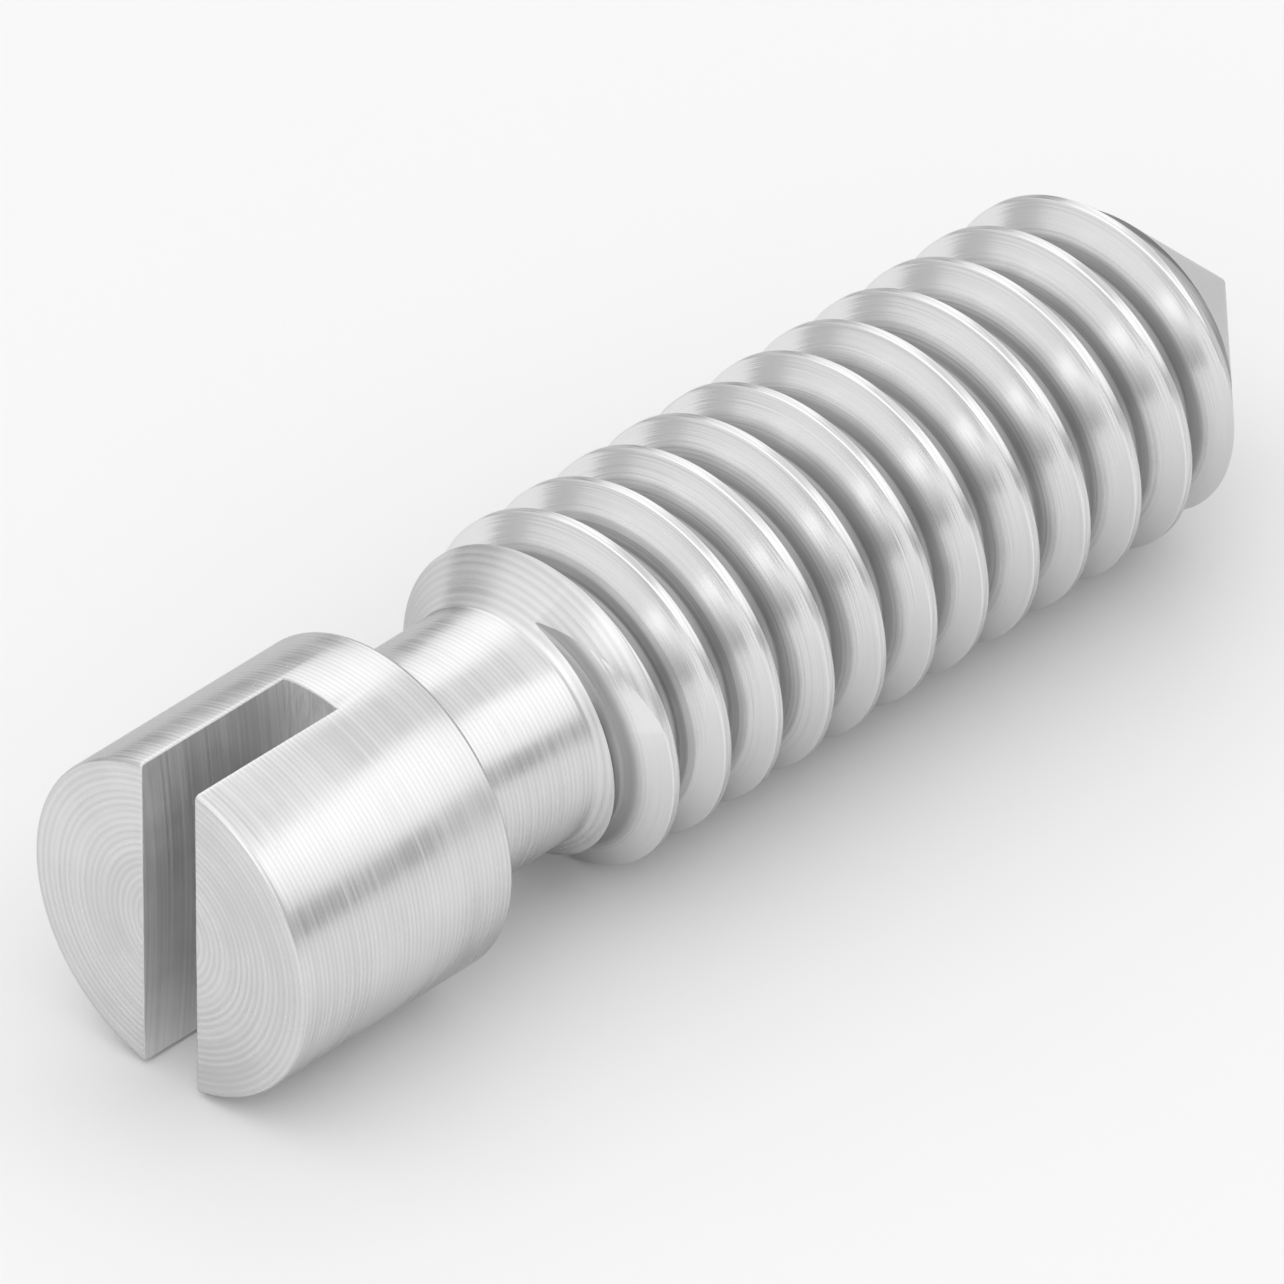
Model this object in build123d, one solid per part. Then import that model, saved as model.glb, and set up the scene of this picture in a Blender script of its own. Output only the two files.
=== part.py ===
from build123d import *
import os
from math import ceil, cos, radians, sin, tan

# Slotted threaded stud with a cone point, turned from one bar, in millimetres.
# It lies along X, with the slotted head at -X and the cone point at +X.
# The origin is on the axis, where the full thread begins.
# The slot stands upright, in the XZ plane.

# Thread: 1/4 in across, 20 turns to the inch, right hand.
major_diameter = 6.35
pitch = 1.27
thread_length = 13.97
thread_angle = 60.0
crest_flat = pitch / 8
root_flat = pitch / 6

# Cone point.
point_angle = 90.0
tip_radius = 0.12

# Chamfer on which the thread rises out of the neck.
start_chamfer_length = 0.81

# Neck, turned a little below the root of the thread.
neck_length = 3.0
neck_relief = 0.17
neck_corner_radius = 0.15

# Slotted head, as wide as the thread.
head_length = 5.08
head_edge_break = 0.1
slot_width = 1.24
slot_floor_thickness = 1.64

# How far a cutting shape runs out past the metal.
cutter_overrun = 1.0

# Sizes that follow from the ones above.
flank_slope = tan(radians(thread_angle / 2))
thread_depth = (pitch - crest_flat - root_flat) / 2 / flank_slope
major_radius = major_diameter / 2
root_radius = major_radius - thread_depth
neck_radius = root_radius - neck_relief
slot_depth = head_length - slot_floor_thickness
half_point = radians(point_angle / 2)

# Places along X, from the point back to the slotted face.
thread_end = thread_length
sharp_tip = thread_end + major_radius / tan(half_point)
tip_centre = sharp_tip - tip_radius / sin(half_point)
neck_end = -start_chamfer_length
shoulder = neck_end - neck_length
end_face = shoulder - head_length


def half_section():
    """The upper half of the turned outline, closed along the axis."""
    rim_radius = major_radius - head_edge_break
    turned_edge = Polyline(
        (end_face, 0),
        (end_face, rim_radius),
        (end_face + head_edge_break, major_radius),
        (shoulder - head_edge_break, major_radius),
        (shoulder, rim_radius),
        (shoulder, neck_radius),
        (neck_end, neck_radius),
        (0, major_radius),
        (thread_end, major_radius),
        (tip_centre + tip_radius * sin(half_point), tip_radius * cos(half_point)),
    )
    tip_arc = CenterArc((tip_centre, 0), tip_radius, 0, 90 - point_angle / 2)
    axis_line = Line(tip_arc @ 0, turned_edge @ 0)
    section = make_face(turned_edge + tip_arc + axis_line)
    neck_corners = section.vertices().filter_by_position(Axis.Y, neck_radius, neck_radius)
    return fillet(neck_corners, neck_corner_radius)


def helix_turn(radius, start):
    """One turn of the thread's helix, from start towards the point."""
    return Helix(pitch, pitch, radius, center=(start, 0, 0), direction=(1, 0, 0)).edge()


def thread_groove():
    """The groove between the crests, from inside the neck to past the cone."""
    root_half_width = root_flat / 2
    outer_half_width = (pitch - crest_flat / 2) / 2
    outer_radius = root_radius + (outer_half_width - root_half_width) / flank_slope
    profile = [
        (-root_half_width, root_radius),
        (root_half_width, root_radius),
        (outer_half_width, outer_radius),
        (-outer_half_width, outer_radius),
    ]
    groove_start = neck_end - pitch
    groove_end = thread_end + thread_depth / tan(half_point) + outer_half_width
    turns = ceil((groove_end - groove_start) / pitch)
    faces = []
    for turn in range(turns):
        start = groove_start + turn * pitch
        helices = [helix_turn(radius, start + offset) for offset, radius in profile]
        for helix, neighbour in zip(helices, helices[1:] + helices[:1]):
            faces.append(Face.make_surface_from_curves(helix, neighbour))
        if turn == 0:
            faces.append(make_face(Polyline([helix @ 0 for helix in helices], close=True)).face())
    faces.append(make_face(Polyline([helix @ 1 for helix in helices], close=True)).face())
    return Solid(Shell(faces))


def head_slot():
    """The straight slot, milled right across the head."""
    return Pos(end_face + slot_depth, 0, 0) * Box(
        slot_depth + cutter_overrun,
        slot_width,
        2 * (major_radius + cutter_overrun),
        align=(Align.MAX, Align.CENTER, Align.CENTER),
    )


stud = revolve(half_section(), Axis.X) - thread_groove() - head_slot()

os.makedirs("parts", exist_ok=True)
export_step(stud, "parts/threaded_stud.step")
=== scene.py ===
from math import atan2, ceil, cos, pi, radians, sin, tan

import bmesh
import bpy
from mathutils import Matrix, Vector


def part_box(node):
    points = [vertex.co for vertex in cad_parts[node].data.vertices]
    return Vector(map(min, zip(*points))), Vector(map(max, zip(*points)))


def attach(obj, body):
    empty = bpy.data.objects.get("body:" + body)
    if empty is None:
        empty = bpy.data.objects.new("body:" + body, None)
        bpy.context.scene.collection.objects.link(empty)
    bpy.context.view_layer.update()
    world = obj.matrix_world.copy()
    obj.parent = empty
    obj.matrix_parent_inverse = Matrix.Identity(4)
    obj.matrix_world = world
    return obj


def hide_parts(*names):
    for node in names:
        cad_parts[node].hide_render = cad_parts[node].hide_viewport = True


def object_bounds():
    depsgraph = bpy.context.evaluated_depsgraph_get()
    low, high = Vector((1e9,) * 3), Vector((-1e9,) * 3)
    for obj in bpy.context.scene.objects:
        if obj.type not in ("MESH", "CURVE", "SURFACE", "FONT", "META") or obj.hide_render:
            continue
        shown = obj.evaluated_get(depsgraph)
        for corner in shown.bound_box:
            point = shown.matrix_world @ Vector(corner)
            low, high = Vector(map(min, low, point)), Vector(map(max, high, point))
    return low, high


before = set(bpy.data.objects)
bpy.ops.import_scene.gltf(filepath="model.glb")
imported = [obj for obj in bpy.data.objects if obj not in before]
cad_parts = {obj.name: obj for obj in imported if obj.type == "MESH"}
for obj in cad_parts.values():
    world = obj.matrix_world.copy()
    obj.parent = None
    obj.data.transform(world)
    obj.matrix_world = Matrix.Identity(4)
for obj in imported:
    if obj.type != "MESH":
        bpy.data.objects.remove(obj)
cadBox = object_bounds()
studLow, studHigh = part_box("threaded_stud")
scene = bpy.context.scene
perMetre = 1000.0               # the stud is modelled in millimetres and scaled down at the end
weld = 1e-4                     # millimetres, for points that are meant to be one
near = 1e-3                     # millimetres, for points that lie on a given ring or plane
print("frame loaded")


camera = {
    "azimuth": -46.26,          # degrees, 0 looks along +Y
    "elevation": 36.04,
    "lens": 1000.0,             # long, so that parallel edges stay parallel
    "sensor": 36.0,
    "frameWidth": 0.02185,      # metres shown across the frame at the stud
    "slideRight": -0.00103,     # aim, from the middle of the stud
    "slideUp": -0.00069,
    "clipFactor": 50.0,         # nearest and farthest sight, from the distance to the stud
}


def directionTo(azimuth, elevation):
    a, e = radians(azimuth), radians(elevation)
    return Vector((sin(a) * cos(e), -cos(a) * cos(e), sin(e)))


def placeCamera(c):
    a, e = radians(c["azimuth"]), radians(c["elevation"])
    back = directionTo(c["azimuth"], c["elevation"])
    right = Vector((cos(a), sin(a), 0))
    up = back.cross(right)
    aim = (cadBox[0] + cadBox[1]) / 2 + right * c["slideRight"] + up * c["slideUp"]
    distance = c["frameWidth"] * c["lens"] / c["sensor"]
    data = bpy.data.cameras.new("studio_camera")
    data.lens, data.sensor_width = c["lens"], c["sensor"]
    data.clip_start, data.clip_end = distance / c["clipFactor"], distance * c["clipFactor"]
    made = bpy.data.objects.new("studio_camera", data)
    made.location = aim + back * distance
    made.rotation_euler = (pi / 2 - e, 0, a)
    scene.collection.objects.link(made)
    scene.camera = made


placeCamera(camera)
print("camera placed")


stud = {                        # millimetres and degrees
    "segments": 192,            # around the axis
    "cornerSteps": 5,           # faces across a rounded corner
    "breakSteps": 4,            # and across a broken edge
    "headLength": 5.08,
    "headEdgeBreak": 0.1,
    "slotWidth": 1.24,
    "slotFloorThickness": 1.64,
    "slotEdgeBreak": 0.045,
    "wallSnap": 2e-3,           # points this near the slot's wall are moved on to it
    "squareTo": 0.99,           # cosine above which a face counts as square to an axis
    "neckRelief": 0.17,         # below the root of the thread
    "neckCornerRadius": 0.15,
    "startChamferLength": 0.81,
    "chamferEdgeBreak": 0.04,
    "pitch": 1.27,
    "threadAngle": 60.0,
    "rootCornerRadius": 0.1,
    "crestBreak": 0.016,
    "crestBreakAngle": 58.0,    # from straight outwards
    "cutterLift": 0.012,        # how far the cutter stands out of the bar
    "threadLength": 13.97,
    "pointAngle": 90.0,
    "tipRadius": 0.12,
    "sharpAbove": 25.0,         # edges that turn by more than this stay crisp
    "normalWeight": 60,         # how much large faces set the shading
}
turnedFaces, sawnFaces, threadFaces = range(3)       # in the order of the stud's finishes


def workOutSizes(s):            # sizes and places that follow from the ones above
    p = {
        "majorRadius": studHigh.z * perMetre,
        "endFace": studLow.x * perMetre,
        "slotHalf": s["slotWidth"] / 2,
        "crestFlat": s["pitch"] / 8,
        "rootFlat": s["pitch"] / 6,
        "flankSlope": tan(radians(s["threadAngle"] / 2)),
        "rootTurn": radians(90 - s["threadAngle"] / 2),     # from the root on to the flank
        "halfPoint": radians(s["pointAngle"] / 2),
        "threadEnd": s["threadLength"],
        "neckEnd": -s["startChamferLength"],
    }
    p["threadDepth"] = (s["pitch"] - p["crestFlat"] - p["rootFlat"]) / 2 / p["flankSlope"]
    p["rootRadius"] = p["majorRadius"] - p["threadDepth"]
    p["neckRadius"] = p["rootRadius"] - s["neckRelief"]
    p["chamferAngle"] = atan2(p["majorRadius"] - p["neckRadius"], s["startChamferLength"])
    p["shoulder"] = p["endFace"] + s["headLength"]
    p["neckMiddle"] = (p["shoulder"] + p["neckEnd"]) / 2
    p["slotFloor"] = p["shoulder"] - s["slotFloorThickness"]
    sharpTip = p["threadEnd"] + p["majorRadius"] / tan(p["halfPoint"])
    p["tipCentre"] = sharpTip - s["tipRadius"] / sin(p["halfPoint"])
    p["grooveStart"] = p["neckEnd"] - s["pitch"]
    p["grooveEnd"] = p["threadEnd"] + p["threadDepth"] + s["pitch"] / 2
    return p


def pointsIn(geometry):
    return [v for v in geometry if isinstance(v, bmesh.types.BMVert)]


def turnOn(bm, x, radius):      # carries the open end of the shell on to the next place on the bar
    rim = [e for e in bm.edges if e.is_boundary]
    points = pointsIn(bmesh.ops.extrude_edge_only(bm, edges=rim)["geom"])
    grow = radius / points[0].co.yz.length
    bmesh.ops.scale(bm, vec=(1, grow, grow), verts=points)
    bmesh.ops.translate(bm, vec=(x - points[0].co.x, 0, 0), verts=points)
    return points


def edgesAt(bm, x, radius):     # the edges round a ring, without any that cross it
    def onRing(v):
        return abs(v.co.x - x) < near and abs(v.co.yz.length - radius) < near

    return [e for e in bm.edges if e.calc_length() < radius and all(map(onRing, e.verts))]


def roundOff(bm, edges, offset, steps):
    bmesh.ops.bevel(
        bm, geom=edges, affect="EDGES", offset=offset, offset_type="OFFSET",
        segments=steps, profile=0.5, material=-1, clamp_overlap=False)


def slottedHead(bm, s, p):      # a disc at the slot's floor, with the two cheeks drawn out of it
    bmesh.ops.create_circle(
        bm, cap_ends=True, radius=p["majorRadius"], segments=s["segments"],
        matrix=Matrix.Translation((p["slotFloor"], 0, 0)) @ Matrix.Rotation(pi / 2, 4, "Y"))
    for side in (-1, 1):
        bmesh.ops.bisect_plane(
            bm, geom=bm.verts[:] + bm.edges[:] + bm.faces[:], dist=s["wallSnap"],
            use_snap_center=True, plane_co=(0, side * p["slotHalf"], 0), plane_no=(0, 1, 0))
    cheeks = [f for f in bm.faces if abs(f.calc_center_median().y) > p["slotHalf"]]
    pulled = pointsIn(bmesh.ops.extrude_face_region(bm, geom=cheeks)["geom"])
    bmesh.ops.delete(bm, geom=cheeks, context="FACES_ONLY")
    bmesh.ops.translate(bm, vec=(p["endFace"] - p["slotFloor"], 0, 0), verts=pulled)


def finishSlot(bm, s, p):       # marks the slot's faces and breaks its edges
    def inSlot(face):
        middle, normal = face.calc_center_median(), face.normal
        square = abs(normal.y) > s["squareTo"] or normal.x < -s["squareTo"]
        return square and abs(middle.y) < p["slotHalf"] + near and middle.x < p["slotFloor"] + near

    for face in bm.faces:
        face.material_index = sawnFaces if inSlot(face) else turnedFaces
    meeting = {turnedFaces, sawnFaces}
    mouth = [e for e in bm.edges if {f.material_index for f in e.link_faces} == meeting]
    roundOff(bm, mouth, s["slotEdgeBreak"], s["breakSteps"])


def turnBlank(s, p):
    bm = bmesh.new()
    slottedHead(bm, s, p)
    for x, radius in (
            (p["shoulder"], p["majorRadius"]), (p["shoulder"], p["neckRadius"]),
            (p["neckEnd"], p["neckRadius"]), (0.0, p["majorRadius"]),
            (p["threadEnd"], p["majorRadius"])):
        turnOn(bm, x, radius)
    for step in range(s["cornerSteps"]):
        a = p["halfPoint"] + (pi / 2 - p["halfPoint"]) * step / s["cornerSteps"]
        turnOn(bm, p["tipCentre"] + s["tipRadius"] * sin(a), s["tipRadius"] * cos(a))
    pole = turnOn(bm, p["tipCentre"] + s["tipRadius"], 0.0)
    bmesh.ops.remove_doubles(bm, verts=pole, dist=weld)
    bmesh.ops.recalc_face_normals(bm, faces=bm.faces)

    neckRise = s["neckCornerRadius"] * tan(p["chamferAngle"] / 2)
    for x, radius, offset, steps in (
            (p["shoulder"], p["neckRadius"], s["neckCornerRadius"], s["cornerSteps"]),
            (p["neckEnd"], p["neckRadius"], neckRise, s["breakSteps"]),
            (p["shoulder"], p["majorRadius"], s["headEdgeBreak"], s["cornerSteps"]),
            (p["endFace"], p["majorRadius"], s["headEdgeBreak"], s["cornerSteps"]),
            (0.0, p["majorRadius"], s["chamferEdgeBreak"], s["breakSteps"]),
            (p["threadEnd"], p["majorRadius"], s["chamferEdgeBreak"], s["breakSteps"])):
        roundOff(bm, edgesAt(bm, x, radius), offset, steps)
    finishSlot(bm, s, p)
    return bm


def threadCutter(s, p):         # the groove's outline, spun forward by one pitch a turn
    bm = bmesh.new()
    rootHalf = p["rootFlat"] / 2
    flankTop = p["majorRadius"] - s["crestBreak"]
    flankHalf = rootHalf + (flankTop - p["rootRadius"]) * p["flankSlope"]
    outer = p["majorRadius"] + s["cutterLift"]
    outerHalf = flankHalf + (outer - flankTop) * tan(radians(s["crestBreakAngle"]))
    outline = [
        (-rootHalf, p["rootRadius"]), (rootHalf, p["rootRadius"]), (flankHalf, flankTop),
        (outerHalf, outer), (-outerHalf, outer), (-flankHalf, flankTop)]
    verts = [bm.verts.new((p["grooveStart"] + x, 0, radius)) for x, radius in outline]
    bm.faces.new(verts)
    bmesh.ops.bevel(
        bm, geom=verts[:2], affect="VERTICES",
        offset=s["rootCornerRadius"] * tan(p["rootTurn"] / 2),
        offset_type="OFFSET", segments=s["breakSteps"], profile=0.5, material=-1)
    bmesh.ops.delete(bm, geom=bm.faces[:], context="FACES_ONLY")
    bmesh.ops.spin(
        bm, geom=bm.verts[:] + bm.edges[:], cent=(0, 0, 0), axis=(1, 0, 0), use_merge=False,
        dvec=(s["pitch"] / s["segments"], 0, 0), angle=2 * pi, steps=s["segments"])
    oneTurn = bm.verts[:] + bm.edges[:] + bm.faces[:]
    for turn in range(1, ceil((p["grooveEnd"] - p["grooveStart"]) / s["pitch"])):
        copied = pointsIn(bmesh.ops.duplicate(bm, geom=oneTurn)["geom"])
        bmesh.ops.translate(bm, vec=(turn * s["pitch"], 0, 0), verts=copied)
    bmesh.ops.remove_doubles(bm, verts=bm.verts, dist=weld)
    bmesh.ops.holes_fill(bm, edges=[e for e in bm.edges if e.is_boundary], sides=0)
    bmesh.ops.recalc_face_normals(bm, faces=bm.faces)
    for face in bm.faces:
        face.material_index = threadFaces
    return bm


def asObject(bm, name, materials):
    mesh = bpy.data.meshes.new(name)
    bm.to_mesh(mesh)
    bm.free()
    for material in materials:
        mesh.materials.append(material)
    made = bpy.data.objects.new(name, mesh)
    scene.collection.objects.link(made)
    return made


def makeStud(s, p, finishes):
    blank = asObject(turnBlank(s, p), "stud_blank", finishes)
    cutter = asObject(threadCutter(s, p), "thread_cutter", finishes)
    cut = blank.modifiers.new("thread", "BOOLEAN")
    cut.operation, cut.solver, cut.object = "DIFFERENCE", "EXACT", cutter
    cut.material_mode = "INDEX"
    ready = blank.evaluated_get(bpy.context.evaluated_depsgraph_get())
    cutMesh = bpy.data.meshes.new_from_object(ready)

    bm = bmesh.new()
    bm.from_mesh(cutMesh)
    bmesh.ops.remove_doubles(bm, verts=bm.verts, dist=weld)
    bmesh.ops.dissolve_degenerate(bm, edges=bm.edges, dist=weld)
    midway = [v for v in bm.verts if len(v.link_edges) == 2]     # left along the edges of the cut
    bmesh.ops.dissolve_verts(bm, verts=midway)
    bmesh.ops.scale(bm, vec=(1 / perMetre,) * 3, verts=bm.verts)
    bmesh.ops.recalc_face_normals(bm, faces=bm.faces)
    for face in bm.faces:
        face.smooth = True
    openEdges = [e for e in bm.edges if not e.is_manifold]
    print("thread cut:", len(bm.faces), "faces,", len(openEdges), "open edges")
    made = asObject(bm, "turned_stud", finishes)
    made.data.set_sharp_from_angle(angle=radians(s["sharpAbove"]))
    evener = made.modifiers.new("even_normals", "WEIGHTED_NORMAL")
    evener.keep_sharp, evener.weight = True, s["normalWeight"]
    for spent in (blank, cutter):
        bpy.data.objects.remove(spent)
    return made


class Wire:                     # one socket, so that shader maths reads as Python
    def __init__(self, nodes, socket):
        self.nodes, self.socket = nodes, socket

    def __add__(self, other):
        return self.nodes.maths("ADD", self, other)

    def __radd__(self, other):
        return self.nodes.maths("ADD", other, self)

    def __sub__(self, other):
        return self.nodes.maths("SUBTRACT", self, other)

    def __rsub__(self, other):
        return self.nodes.maths("SUBTRACT", other, self)

    def __mul__(self, other):
        return self.nodes.maths("MULTIPLY", self, other)

    def __truediv__(self, other):
        return self.nodes.maths("DIVIDE", self, other)

    def __pow__(self, other):
        return self.nodes.maths("POWER", self, other)


class Nodes:                    # a node tree, with a short way to add to it
    def __init__(self, tree):
        self.tree = tree
        tree.nodes.clear()

    def add(self, kind, settings=None, sockets=None, output=0):
        node = self.tree.nodes.new("ShaderNode" + kind)
        for name, value in (settings or {}).items():
            setattr(node, name, value)
        for name, value in (sockets or {}).items():
            if isinstance(value, Wire):
                self.tree.links.new(value.socket, node.inputs[name])
            else:
                node.inputs[name].default_value = value
        return Wire(self, node.outputs[output]) if node.outputs else node

    def maths(self, operation, *values):
        return self.add("Math", {"operation": operation}, dict(enumerate(values)))


noiseMiddle = 0.5
toneBand = (0.35, 0.65)         # the part of a noise that is spread over the tones
roughBand = (0.3, 0.7)          # and over the roughness
edgeTone = 0.7                  # steel stays greyer than silver where it is seen edge on
scratchBand = (0.76, 0.82)      # noise above this is a scratch


def grey(value):
    return (value, value, value, 1.0)


def mixed(a, b, share):
    return a * (1 - share) + b * share


def aroundAxis(y, z):
    radius = (y * y + z * z) ** 0.5
    return radius, y / radius, z / radius


class Finish(Nodes):
    def __init__(self, name):
        self.material = bpy.data.materials.new(name)
        self.material.use_nodes = True
        super().__init__(self.material.node_tree)

    def place(self):            # object coordinates, in millimetres
        at = self.add("TexCoord", output=3)
        scaled = self.add("Mapping", None, {"Vector": at, "Scale": (perMetre,) * 3})
        split = self.add("SeparateXYZ", None, {0: scaled})
        return [Wire(self, socket) for socket in split.socket.node.outputs]

    def noise(self, a, b, c, w=0.0, detail=2.0):
        where = self.add("CombineXYZ", None, {0: a, 1: b, 2: c})
        return self.add(
            "TexNoise", {"noise_dimensions": "4D"},
            {"Vector": where, "W": w, "Scale": 1.0, "Detail": detail})

    def cloud(self, at, t):     # soft patches
        return self.noise(*(a * t["cloudScale"] for a in at), t["cloudSeed"], detail=3)

    def scratches(self, t):     # fine streaks, all lying one way
        length, width = t["scratchLength"] / perMetre, t["scratchWidth"] / perMetre
        laid = self.add("Mapping", {"vector_type": "TEXTURE"}, {
            "Vector": self.add("TexCoord", output=3),
            "Rotation": t["scratchTurn"], "Scale": (length, width, width)})
        streaks = self.add(
            "TexNoise", {"noise_dimensions": "4D"},
            {"Vector": laid, "W": t["scratchSeed"], "Scale": 1.0, "Detail": 1.0})
        return self.ease(streaks, *(edge - t["scratchShare"] for edge in scratchBand))

    def ease(self, value, low, high, start=0.0, end=1.0):
        return self.add(
            "MapRange", {"interpolation_type": "SMOOTHSTEP"},
            {0: value, 1: low, 2: high, 3: start, 4: end})

    def spreadRoughness(self, value, t):
        low, high = t["roughness"] - t["spread"] / 2, t["roughness"] + t["spread"]
        return self.ease(value, *roughBand, low, high)

    def blend(self, factor, dark, light):
        return self.add(
            "Mix", {"data_type": "RGBA"}, {0: factor, 6: grey(dark), 7: grey(light)}, output=2)

    def steel(self, colour, roughness, height, depth):
        bump = self.add(
            "Bump", None, {"Strength": 1.0, "Distance": depth / perMetre, "Height": height})
        metal = self.add("BsdfPrincipled", None, {
            "Base Color": colour, "Metallic": 1.0, "Roughness": roughness,
            "Specular Tint": grey(edgeTone), "Normal": bump})
        self.add("OutputMaterial", None, {0: metal})
        return self.material


turned = {                      # lengths in millimetres
    "light": 0.78, "dark": 0.64, "roughness": 0.24, "spread": 0.12,
    "markSpacing": 0.06, "markDepth": 0.0014,
    "markDrift": 0.6,           # how much the fine marks change round the bar
    "broadScale": 2.2, "broadDrift": 1.2, "broadShare": 0.15,
    "feed": 0.1, "feedShare": 0.24,
    "faceFeed": 0.8,            # of the feed, where the head's flat faces were cut
    "cloudScale": 0.45, "cloudSeed": 3.0, "cloudInTone": 0.45, "cloudInRoughness": 0.6,
    "scratchLength": 1.2, "scratchWidth": 0.03, "scratchShare": 0.04,
    "scratchTurn": (0.5, 0.2, 0.35), "scratchSeed": 2.0,
    "scratchDarkening": 0.5, "scratchRoughness": 0.1, "scratchDepth": 0.5,
}


def turnedFinish(t, p):         # tool marks run round the axis, a feed apart
    f = Finish("turned_steel_finish")
    x, y, z = f.place()
    radius, side, top = aroundAxis(y, z)
    onHead = f.maths("LESS_THAN", x, p["neckMiddle"])
    travel = x + radius * onHead * t["faceFeed"]
    spacing, drift, scale = t["markSpacing"], t["markDrift"], t["broadScale"]
    fine = f.noise(x / spacing, radius / spacing, side * drift, top * drift)
    broad = f.noise(
        x * scale, radius * scale, side * t["broadDrift"], top * t["broadDrift"], detail=3)
    cloud = f.cloud((x, y, z), t)
    feed = f.maths("SINE", travel * (2 * pi / t["feed"])) * 0.5 + 0.5
    nicks = f.scratches(t)
    fineShare = 1 - t["broadShare"] - t["feedShare"]
    marks = fine * fineShare + broad * t["broadShare"] + feed * t["feedShare"]
    tone = f.ease(mixed(marks, cloud, t["cloudInTone"]), *toneBand)
    colour = f.blend(tone * (1 - nicks * t["scratchDarkening"]), t["dark"], t["light"])
    rough = f.spreadRoughness(mixed(fine, cloud, t["cloudInRoughness"]), t)
    return f.steel(
        colour, rough + nicks * t["scratchRoughness"],
        marks - nicks * t["scratchDepth"], t["markDepth"])


sawn = {
    # light and dark are paler than the turned steel's: painted light against the shade in the slot
    "light": 0.88, "dark": 0.74, "roughness": 0.52, "spread": 0.1,
    "markSpacing": 0.05, "markDepth": 0.0026, "markSeed": 7.0,
    "markDrift": 0.15,          # how much the marks change down the slot
    "bow": 0.02,                # how much they curve
    "cloudScale": 0.7, "cloudSeed": 1.0, "cloudInTone": 0.4, "cloudInRoughness": 0.5,
}


def sawnFinishWithPaintedLight(t):              # saw marks run straight down the slot's walls, on steel painted paler than the turned steel to lift the slot's shade
    f = Finish("sawn_slot_with_painted_light")
    x, y, z = f.place()
    bowed = x + z * z * t["bow"]
    spacing = t["markSpacing"]
    fine = f.noise(bowed / spacing, y / spacing, z * t["markDrift"], t["markSeed"])
    cloud = f.cloud((x, y, z), t)
    tone = f.ease(mixed(fine, cloud, t["cloudInTone"]), *toneBand)
    rough = f.spreadRoughness(mixed(fine, cloud, t["cloudInRoughness"]), t)
    return f.steel(f.blend(tone, t["dark"], t["light"]), rough, fine, t["markDepth"])


cutThread = {
    # crest and root: the thread's tone from its crest down to its root; the darker root is painted
    # shade in the groove
    "crest": 0.84, "root": 0.39, "roughness": 0.19, "rootRoughness": 0.4,
    "markSpacing": 0.05, "markDepth": 0.0045, "markInTone": 1.1,
    "marksAcross": 3.0,         # how finely the flanks are marked
    "marksAlong": 0.25,         # and how much that changes along the bar
    "rootShare": 0.09, "crestShare": 0.65,   # of the depth, where the painted shade of the root fades out
    "cloudScale": 0.6, "cloudSeed": 5.0, "cloudInTone": 0.5,
}


def threadFinishWithPaintedShade(t, s, p):      # chaser's marks run along the helix, and the root is rougher and painted darker as shade in the groove
    f = Finish("cut_thread_with_painted_root_shade")
    x, y, z = f.place()
    radius = aroundAxis(y, z)[0]
    phase = x * (2 * pi / s["pitch"]) - f.maths("ARCTAN2", z, y)     # one value all along the helix
    fine = f.noise(
        radius / t["markSpacing"], f.maths("SINE", phase) * t["marksAcross"],
        f.maths("COSINE", phase) * t["marksAcross"], x * t["marksAlong"])
    cloud = f.cloud((x, y, z), t) - noiseMiddle
    # painted shade: the colour darkens from the crest down into the root
    height = (radius - p["rootRadius"]) / p["threadDepth"]
    height = f.ease(height, t["rootShare"], t["crestShare"])
    tone = height + (fine - noiseMiddle) * t["markInTone"] + cloud * t["cloudInTone"]
    colour = f.blend(f.ease(tone, 0.0, 1.0), t["root"], t["crest"])
    rough = f.ease(height + cloud, 0.0, 1.0, t["rootRoughness"], t["roughness"])
    return f.steel(colour, rough, fine, t["markDepth"])


sizes = workOutSizes(stud)
finishes = [turnedFinish(turned, sizes), sawnFinishWithPaintedLight(sawn), threadFinishWithPaintedShade(cutThread, stud, sizes)]
print("finishes made")

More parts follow.
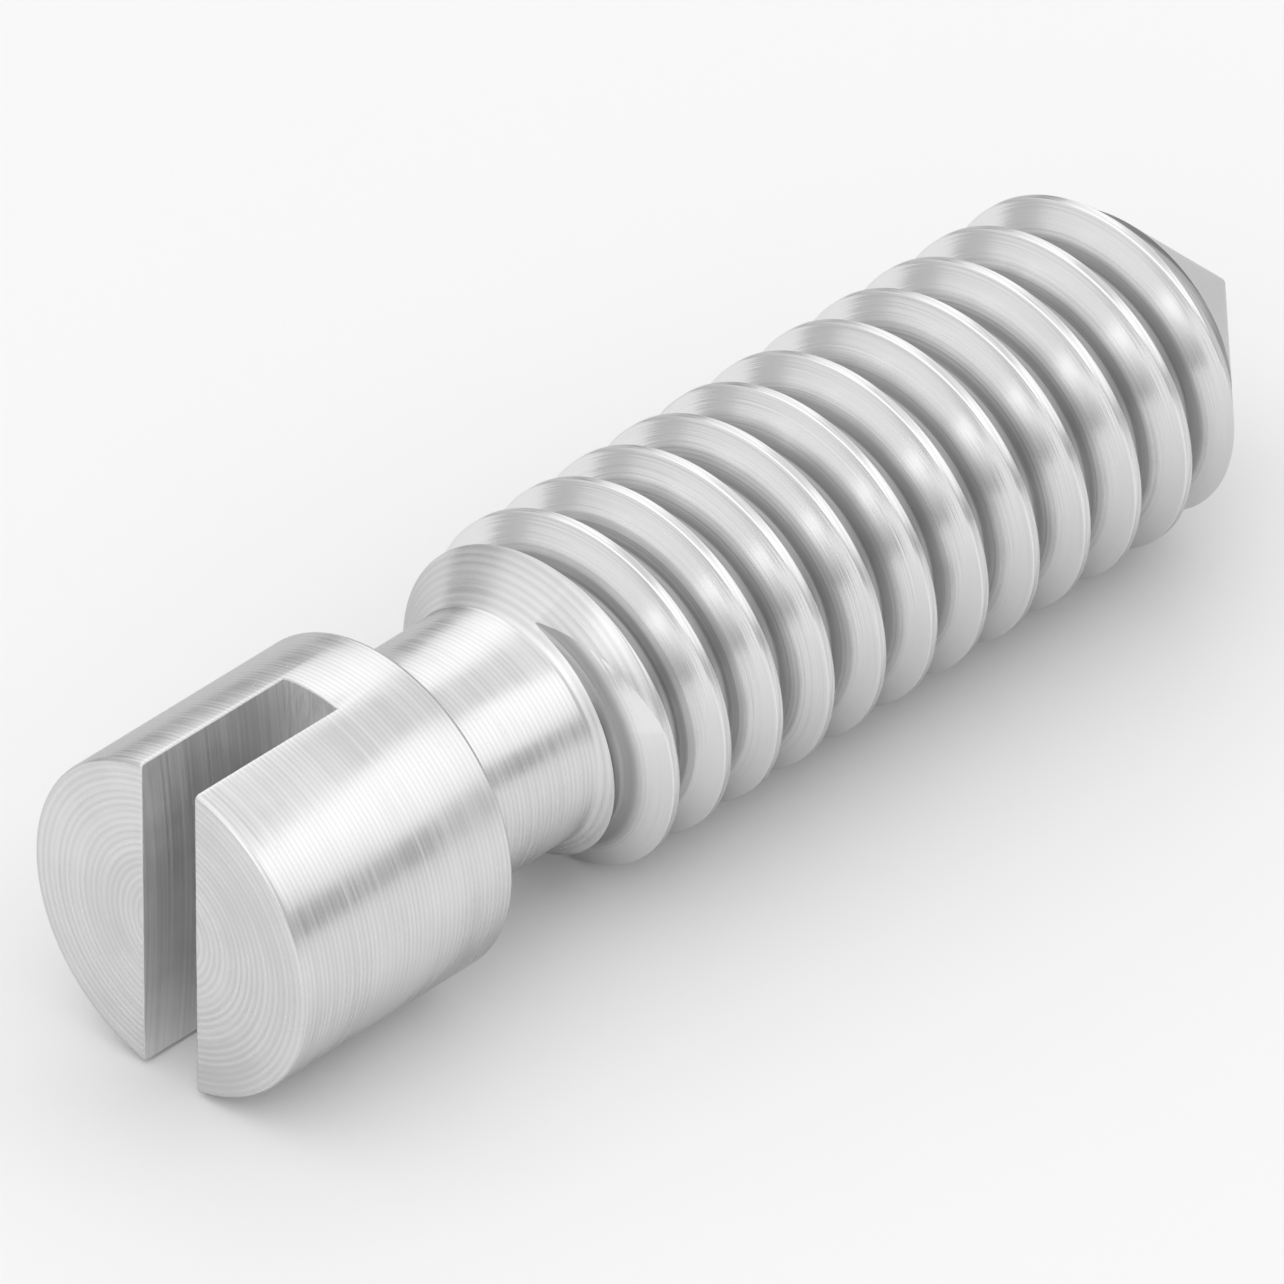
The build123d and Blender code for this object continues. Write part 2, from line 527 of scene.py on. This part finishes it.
turnedStud = makeStud(stud, sizes, finishes)
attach(turnedStud, "root")
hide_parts("threaded_stud")
print("stud made")


studio = {
    "floorRadius": 3.0,
    "floorSegments": 96,
    "floorTone": 0.88,
    "floorRoughness": 0.9,
    "horizon": 0.46,            # brightness of the surroundings, level and overhead
    "zenith": 1.08,
    "softboxes": [              # name, azimuth, elevation, distance, width, power
        ("key_softbox", -105, 50, 0.5, 0.8, 0.46),
        ("side_softbox", 44, 34, 0.4, 0.26, 0.13),
        ("front_softbox", -58, 28, 0.45, 0.36, 0.2),
        ("back_softbox", 140, 38, 0.4, 0.28, 0.135),
    ],
}


def layFloor(s):
    bm = bmesh.new()
    bmesh.ops.create_circle(
        bm, cap_ends=True, segments=s["floorSegments"], radius=s["floorRadius"],
        matrix=Matrix.Translation((0, 0, studLow.z)))
    f = Finish("pale_floor")
    paint = f.add("BsdfPrincipled", None, {
        "Base Color": grey(s["floorTone"]), "Roughness": s["floorRoughness"]})
    f.add("OutputMaterial", None, {0: paint})
    asObject(bm, "floor", [f.material])


def surround(s):
    world = bpy.data.worlds.new("studio_surround")
    world.use_nodes = True
    sky = Nodes(world.node_tree)
    height = sky.add("SeparateXYZ", None, {0: sky.add("TexCoord")}, output=2)
    strength = sky.add("MapRange", None, {0: height, 3: s["horizon"], 4: s["zenith"]})
    glow = sky.add("Background", None, {"Color": grey(1.0), "Strength": strength})
    sky.add("OutputWorld", None, {0: glow})
    scene.world = world


def hangSoftboxes(s):
    middle = (studLow + studHigh) / 2
    for name, azimuth, elevation, distance, width, power in s["softboxes"]:
        data = bpy.data.lights.new(name, "AREA")
        data.size, data.energy = width, power
        made = bpy.data.objects.new(name, data)
        outwards = directionTo(azimuth, elevation)
        made.location = middle + outwards * distance
        made.rotation_euler = outwards.to_track_quat("Z", "Y").to_euler()
        made.visible_camera = False
        scene.collection.objects.link(made)


layFloor(studio)
surround(studio)
hangSoftboxes(studio)
scene.view_settings.view_transform = "Standard"
print("studio lit")
